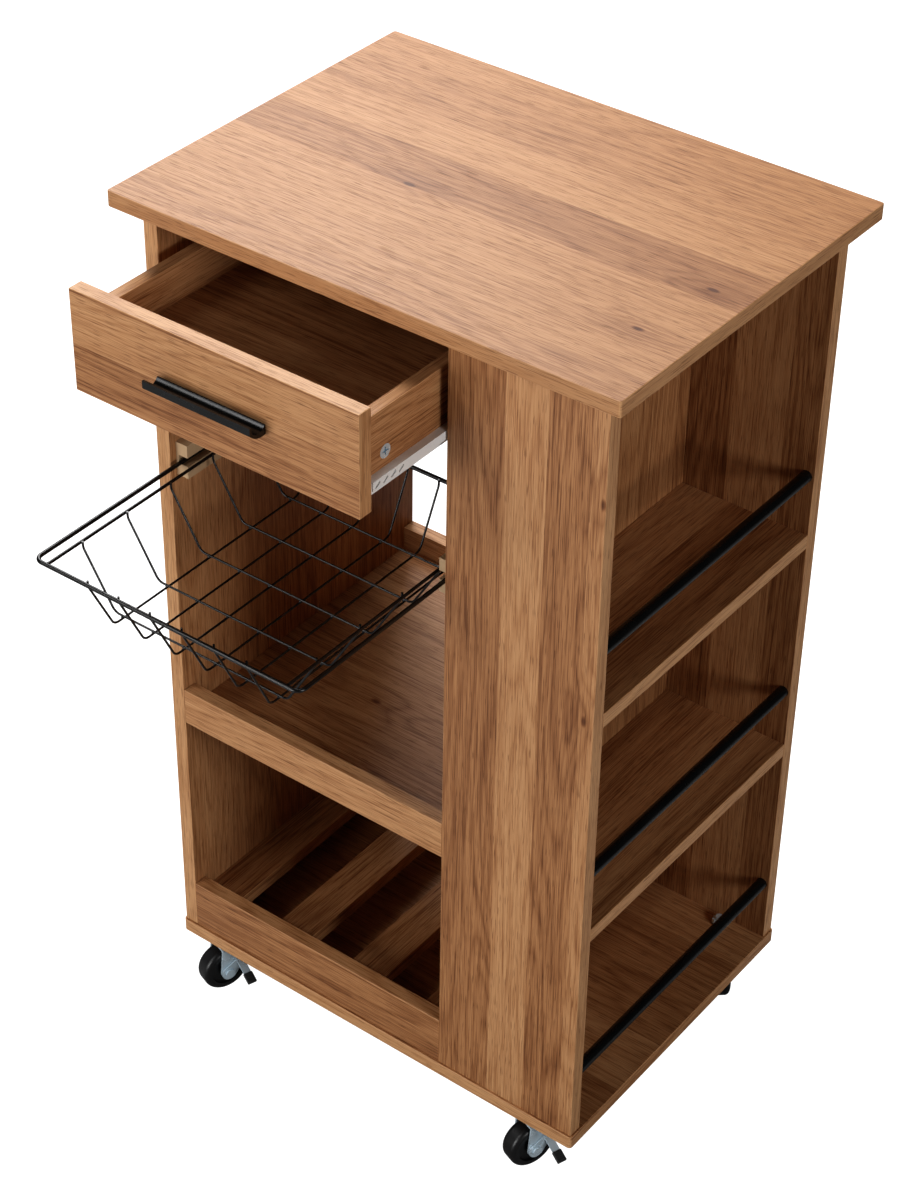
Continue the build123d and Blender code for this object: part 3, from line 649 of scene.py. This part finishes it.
sweep_inputs = {"Curve": paths.outputs[0], "Profile Curve": section.outputs[0]}
swept = add(wires, "GeometryNodeCurveToMesh", sweep_inputs)
swept.inputs["Fill Caps"].default_value = True
finish_tree(wires, swept.outputs[0], given["Finish"], gives[0], smooth=True)

# %% Grow the wires
wire_radius = 1.25 * MM
drawn_radius = 1.05 * MM
bend_radius = 9.0 * MM
side_slope = 32.75 * MM
end_slope = 27.25 * MM
upright = 6.0 * MM
cross_low, cross_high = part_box("basket_cross_wires")
long_low, long_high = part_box("basket_long_wires")
cross_count, long_count = 5, 6


def bent_path(low_a, high_a, floor_z, top_z, slope, place):
    """The six corner points of one wire: up, in, along, out and up, as a mesh of edges."""
    foot = top_z - upright
    flat = [
        (low_a, top_z),
        (low_a, foot),
        (low_a + slope, floor_z),
        (high_a - slope, floor_z),
        (high_a, foot),
        (high_a, top_z),
    ]
    edges = [(i, i + 1) for i in range(len(flat) - 1)]
    return plain_mesh("path", [place(a, z) for a, z in flat], edges)


cross_pitch = (cross_high.y - cross_low.y - 2 * wire_radius) / (cross_count - 1)
cross_start = cross_low.y + wire_radius
cross_floor = cross_low.z + wire_radius
cross_path = bent_path(
    cross_low.x + wire_radius,
    cross_high.x - wire_radius,
    cross_floor,
    cross_high.z,
    side_slope,
    lambda a, z: (a, cross_start, z),
)
wire_sizes = {"Wire Radius": drawn_radius, "Bend Radius": bend_radius, "Finish": wire_black}
sizes = {**wire_sizes, "Count": cross_count, "Spacing": (0.0, cross_pitch, 0.0)}
grow("cross_wires", cross_path, wires, sizes, "basket", "wire_steel", "basket_cross_wires")

long_pitch = (long_high.x - long_low.x - 2 * wire_radius) / (long_count - 1)
long_start = long_low.x + wire_radius
long_floor = long_low.z + wire_radius
long_path = bent_path(
    long_low.y + wire_radius,
    long_high.y - wire_radius,
    long_floor,
    long_high.z,
    end_slope,
    lambda a, z: (long_start, a, z),
)
sizes = {**wire_sizes, "Count": long_count, "Spacing": (long_pitch, 0.0, 0.0)}
grow("long_wires", long_path, wires, sizes, "basket", "wire_steel", "basket_long_wires")

# %% Tree: beads on points
beads, given, gives = tree_with(
    "weld_beads",
    "GeometryNodeTree",
    [
        ("Points", "NodeSocketGeometry", None),
        ("Bead Radius", "NodeSocketFloat", 0.0017),
        ("Finish", "NodeSocketMaterial", None),
    ],
    [("Geometry", "NodeSocketGeometry")],
)
ball = add(beads, "GeometryNodeMeshIcoSphere", {"Radius": given["Bead Radius"], "Subdivisions": 2})
spread = copies_at(beads, given["Points"], ball.outputs[0])
uneven_size = add(beads, "FunctionNodeRandomValue", {"Seed": 4}, data_type="FLOAT_VECTOR")
uneven_size.inputs[0].default_value = (0.85, 0.85, 0.75)
uneven_size.inputs[1].default_value = (1.15, 1.15, 0.95)
beads.links.new(uneven_size.outputs[0], spread.inputs["Scale"])
finish_tree(beads, spread.outputs[0], given["Finish"], gives[0], smooth=True)

# %% Grow the welds
weld_z = (cross_floor + long_floor) / 2
welds = [
    (long_start + i * long_pitch, cross_start + j * cross_pitch, weld_z)
    for i in range(long_count)
    for j in range(cross_count)
]
grow(
    "basket_welds",
    plain_mesh("weld_points", welds),
    beads,
    {"Bead Radius": 1.7 * MM, "Finish": wire_black},
    "basket",
    "wire_steel",
)

# %% [markdown]
# ## The bottle slats
# Four narrow boards span the bottom of the bay with gaps between them, so a bottle lies in a gap. They
# are one board repeated. The tree takes an eased board and sets it out in a row.


# %% Tree: a row of boards
def eased_box(name, low, high, ease_by, segments=2):
    """A box between two corners with its edges rounded over."""
    shape = bmesh.new()
    bmesh.ops.create_cube(shape, size=1.0)
    size, middle = high - low, (high + low) / 2
    for vertex in shape.verts:
        vertex.co = Vector([middle[i] + vertex.co[i] * size[i] for i in range(3)])
    edges = shape.edges[:]
    bmesh.ops.bevel(shape, geom=edges, offset=ease_by, segments=segments, affect="EDGES", profile=0.5)
    mesh = bpy.data.meshes.new(name)
    shape.to_mesh(mesh)
    shape.free()
    return mesh


rows, given, gives = tree_with(
    "row_of_boards",
    "GeometryNodeTree",
    [
        ("Board", "NodeSocketGeometry", None),
        ("Count", "NodeSocketInt", 4),
        ("Spacing", "NodeSocketVector", None),
        ("Finish", "NodeSocketMaterial", None),
    ],
    [("Geometry", "NodeSocketGeometry")],
)
row = add(rows, "GeometryNodeMeshLine", {"Count": given["Count"], "Offset": given["Spacing"]})
copies = copies_at(rows, row.outputs[0], given["Board"])
finish_tree(rows, copies.outputs[0], given["Finish"], gives[0])

# %% Grow the slats
slat_low, slat_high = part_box("bottle_slat_1")
slat_pitch = (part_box("bottle_slat_4")[0].x - slat_low.x) / 3
slat_count = 4
slat_ease = 0.8 * MM
slat_finish = board_material("bottle_slats", "YXZ", 61.3, 0.080)
grow(
    "bottle_slats",
    eased_box("slat", slat_low, slat_high, slat_ease),
    rows,
    {"Count": slat_count, "Spacing": (slat_pitch, 0.0, 0.0), "Finish": slat_finish},
    "carcass",
    "wood_laminate",
    *(f"bottle_slat_{i}" for i in range(1, 5)),
)

# %% [markdown]
# ## Screw heads and caster nuts
# The frame is drawn together by long screws with a six-sided socket, sunk flush in the left side and
# in the base. Four casters are held by a flanged nut with toothed sides on top of the base, and the
# end of each stem stands out of it with its thread showing. A head is a short cone with a socket cut
# out of it; a nut is a star outline raised into a prism; the thread is a spiral swept with a small
# section. Each is drawn once and set on its points.

# %% Tree: socket screws on points
heads, given, gives = tree_with(
    "socket_screws",
    "GeometryNodeTree",
    [
        ("Points", "NodeSocketGeometry", None),
        ("Turn", "NodeSocketVector", None),
        ("Head Radius", "NodeSocketFloat", 0.0048),
        ("Head Height", "NodeSocketFloat", 0.0036),
        ("Shank Radius", "NodeSocketFloat", 0.003),
        ("Length", "NodeSocketFloat", 0.05),
        ("Socket Radius", "NodeSocketFloat", 0.0022),
        ("Finish", "NodeSocketMaterial", None),
    ],
    [("Geometry", "NodeSocketGeometry")],
)
cone = add(
    heads,
    "GeometryNodeMeshCone",
    {
        "Vertices": 24,
        "Radius Top": given["Shank Radius"],
        "Radius Bottom": given["Head Radius"],
        "Depth": given["Head Height"],
    },
)
shank = add(heads, "GeometryNodeMeshCylinder", {"Vertices": 16, "Radius": given["Shank Radius"]})
shank_into_head = 0.2 * MM
shank_length = calc(heads, "SUBTRACT", given["Length"], given["Head Height"])
heads.links.new(shank_length, shank.inputs["Depth"])
shank_middle = calc(heads, "MULTIPLY_ADD", shank_length, 0.5, given["Head Height"])
shank_place = vector(heads, 0.0, 0.0, calc(heads, "SUBTRACT", shank_middle, shank_into_head))
lower = add(heads, "GeometryNodeTransform", {"Geometry": shank.outputs[0], "Translation": shank_place})
socket_depth = calc(heads, "MULTIPLY", given["Head Height"], 1.3)
socket_inputs = {"Vertices": 6, "Radius": given["Socket Radius"], "Depth": socket_depth}
hexagon = add(heads, "GeometryNodeMeshCylinder", socket_inputs)
cut = add(heads, "GeometryNodeMeshBoolean", operation="DIFFERENCE")
heads.links.new(cone.outputs[0], cut.inputs["Mesh 1"])
heads.links.new(hexagon.outputs[0], cut.inputs["Mesh 2"])
whole = add(heads, "GeometryNodeJoinGeometry")
heads.links.new(cut.outputs[0], whole.inputs[0])
heads.links.new(lower.outputs[0], whole.inputs[0])
spread = copies_at(heads, given["Points"], whole.outputs[0], Rotation=given["Turn"])
finish_tree(heads, spread.outputs[0], given["Finish"], gives[0])

# %% Set the screws of the left side and of the base
left_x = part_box("left_side_panel")[0].x


def share(node, axis, part):
    """A place part of the way along a solid's box."""
    low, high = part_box(node)
    return low[axis] + part * (high[axis] - low[axis])


side_points = []
for rail, parts in (
    ("mid_front_rail", (0.25, 0.75)),
    ("mid_back_rail", (0.25, 0.75)),
    ("bottom_front_rail", (0.8,)),
    ("bottom_back_rail", (0.8,)),
    ("top_back_rail", (0.5,)),
):
    side_points += [(left_x, share(rail, 1, 0.5), share(rail, 2, part)) for part in parts]
side_points += [
    (left_x, share("left_side_panel", 1, part), share("mid_shelf", 2, 0.5)) for part in (0.3, 0.7)
]
screw_sizes = {
    "Head Radius": 4.8 * MM,
    "Head Height": 3.6 * MM,
    "Shank Radius": 3.0 * MM,
    "Length": 50.0 * MM,
    "Socket Radius": 2.2 * MM,
    "Finish": zinc,
}
grow(
    "side_screws",
    plain_mesh("side_points", side_points),
    heads,
    {**screw_sizes, "Turn": (0.0, math.radians(90), 0.0)},
    "carcass",
    "zinc",
    "frame_screws",
)
print(len(side_points), "screws in the left side")

base_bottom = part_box("base_panel")[0].z
corner_in = 90.0 * MM
left_front, left_back = (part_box("left_side_panel")[i].y for i in (0, 1))
base_points = []
for panel in ("left_side_panel", "divider_panel"):
    middle = share(panel, 0, 0.5)
    base_points += [(middle, y, base_bottom) for y in (left_front + corner_in, left_back - corner_in)]
base_points.append((share("front_panel", 0, 1 / 3), share("front_panel", 1, 0.5), base_bottom))
tower_middle = (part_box("front_panel")[0].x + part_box("front_panel")[1].x) / 2
base_points.append((tower_middle, share("back_panel", 1, 0.5), base_bottom))
grow(
    "base_screws",
    plain_mesh("base_points", base_points),
    heads,
    {**screw_sizes, "Turn": (0.0, 0.0, 0.0)},
    "carcass",
    "zinc",
    "frame_screws",
)
print(len(base_points), "screws in the base")

# %% Tree: star nuts with the stem's thread standing out
nuts, given, gives = tree_with(
    "star_nuts",
    "GeometryNodeTree",
    [
        ("Points", "NodeSocketGeometry", None),
        ("Teeth", "NodeSocketInt", 10),
        ("Outer Radius", "NodeSocketFloat", 0.0073),
        ("Inner Radius", "NodeSocketFloat", 0.0060),
        ("Bore Radius", "NodeSocketFloat", 0.0039),
        ("Height", "NodeSocketFloat", 0.0068),
        ("Thread Turns", "NodeSocketFloat", 3.0),
        ("Thread Height", "NodeSocketFloat", 0.0026),
        ("Finish", "NodeSocketMaterial", None),
    ],
    [("Geometry", "NodeSocketGeometry")],
)
star_inputs = {
    "Points": given["Teeth"],
    "Inner Radius": given["Inner Radius"],
    "Outer Radius": given["Outer Radius"],
}
star = add(nuts, "GeometryNodeCurveStar", star_inputs)
bore = add(nuts, "GeometryNodeCurvePrimitiveCircle", {"Resolution": 32, "Radius": given["Bore Radius"]})
outline = add(nuts, "GeometryNodeJoinGeometry")
nuts.links.new(star.outputs[0], outline.inputs[0])
nuts.links.new(bore.outputs[0], outline.inputs[0])
sheet = add(nuts, "GeometryNodeFillCurve", {"Curve": outline.outputs[0]})
raised = add(
    nuts,
    "GeometryNodeExtrudeMesh",
    {"Mesh": sheet.outputs[0], "Offset": vector(nuts, 0.0, 0.0, 1.0), "Offset Scale": given["Height"]},
)
raised.inputs["Individual"].default_value = False
under = add(nuts, "GeometryNodeFlipFaces", {"Mesh": sheet.outputs[0]})
both = add(nuts, "GeometryNodeJoinGeometry")
nuts.links.new(raised.outputs[0], both.inputs[0])
nuts.links.new(under.outputs[0], both.inputs[0])
closed = add(nuts, "GeometryNodeMergeByDistance", {"Geometry": both.outputs[0], "Distance": 0.00001})
spiral = add(
    nuts,
    "GeometryNodeCurveSpiral",
    {
        "Resolution": 24,
        "Rotations": given["Thread Turns"],
        "Start Radius": given["Bore Radius"],
        "End Radius": given["Bore Radius"],
        "Height": given["Thread Height"],
    },
)
thread_radius = 0.35 * MM
crest = add(nuts, "GeometryNodeCurvePrimitiveCircle", {"Resolution": 6, "Radius": thread_radius})
thread = add(nuts, "GeometryNodeCurveToMesh", {"Curve": spiral.outputs[0], "Profile Curve": crest.outputs[0]})
thread.inputs["Fill Caps"].default_value = True
nut_top = vector(nuts, 0.0, 0.0, given["Height"])
lifted = add(nuts, "GeometryNodeTransform", {"Geometry": thread.outputs[0], "Translation": nut_top})
whole = add(nuts, "GeometryNodeJoinGeometry")
nuts.links.new(closed.outputs[0], whole.inputs[0])
nuts.links.new(lifted.outputs[0], whole.inputs[0])
spread = copies_at(nuts, given["Points"], whole.outputs[0])
finish_tree(nuts, spread.outputs[0], given["Finish"], gives[0])

# %% Grow the nuts
base_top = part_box("base_panel")[1].z
joints = frame["record"]["behaviour"]["joints"]
turns = {joint["name"]: joint["pos_m"] for joint in joints if "pos_m" in joint}
nut_points = [(turns[f"swivel_{c}_turn"][0], turns[f"swivel_{c}_turn"][1], base_top) for c in CASTERS]
nut_sizes = {
    "Teeth": 10,
    "Outer Radius": 7.4 * MM,
    "Inner Radius": 6.0 * MM,
    "Bore Radius": 3.9 * MM,
    "Height": 6.8 * MM,
    "Thread Turns": 3.0,
    "Thread Height": 2.6 * MM,
    "Finish": zinc,
}
nut_start = plain_mesh("nut_points", nut_points)
grow("star_nuts", nut_start, nuts, nut_sizes, "carcass", "zinc", "caster_nuts")

# %% [markdown]
# ## Grip on the brake pedals
# A toe pushes the pedal down, so its soft cap is moulded with a few ridges across. They follow the
# slope of the wing: the cap's own middle, the way its axle points and the slope give their places.

# %% Tree and pieces: ridges on a slope
ridges, given, gives = tree_with(
    "ridges",
    "GeometryNodeTree",
    [
        ("Points", "NodeSocketGeometry", None),
        ("Turn", "NodeSocketVector", None),
        ("Ridge Radius", "NodeSocketFloat", 0.00045),
        ("Length", "NodeSocketFloat", 0.0076),
        ("Finish", "NodeSocketMaterial", None),
    ],
    [("Geometry", "NodeSocketGeometry")],
)
ridge_inputs = {"Vertices": 12, "Radius": given["Ridge Radius"], "Depth": given["Length"]}
ridge = add(ridges, "GeometryNodeMeshCylinder", ridge_inputs)
spread = copies_at(ridges, given["Points"], ridge.outputs[0], Rotation=given["Turn"])
finish_tree(ridges, spread.outputs[0], given["Finish"], gives[0])

axes = {joint["name"]: Vector(joint["axis"]) for joint in joints}
ridge_count = 5
ridge_sizes = {"Ridge Radius": 0.45 * MM, "Length": 7.6 * MM, "Finish": cap_black}
cap_slope = math.radians(25)
cap_half_thickness = 1.65 * MM
ridge_pitch = 1.9 * MM
for side in ("left", "right"):
    low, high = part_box(f"brake_cap_front_{side}")
    middle = (low + high) / 2
    outward = -axes[f"brake_front_{side}_press"]
    down_wing = outward * math.cos(cap_slope) - Vector((0, 0, 1)) * math.sin(cap_slope)
    up_wing = outward * math.sin(cap_slope) + Vector((0, 0, 1)) * math.cos(cap_slope)
    across_wing = up_wing.cross(down_wing)
    top_middle = middle + up_wing * cap_half_thickness
    steps = [i - ridge_count // 2 for i in range(ridge_count)]
    spots = [top_middle + down_wing * step * ridge_pitch for step in steps]
    turn = across_wing.to_track_quat("Z", "Y").to_euler()
    grow(
        f"grip_ridges_{side}",
        plain_mesh("ridge_points", spots),
        ridges,
        {**ridge_sizes, "Turn": tuple(turn)},
        f"brake_front_{side}",
        "black_plastic",
    )
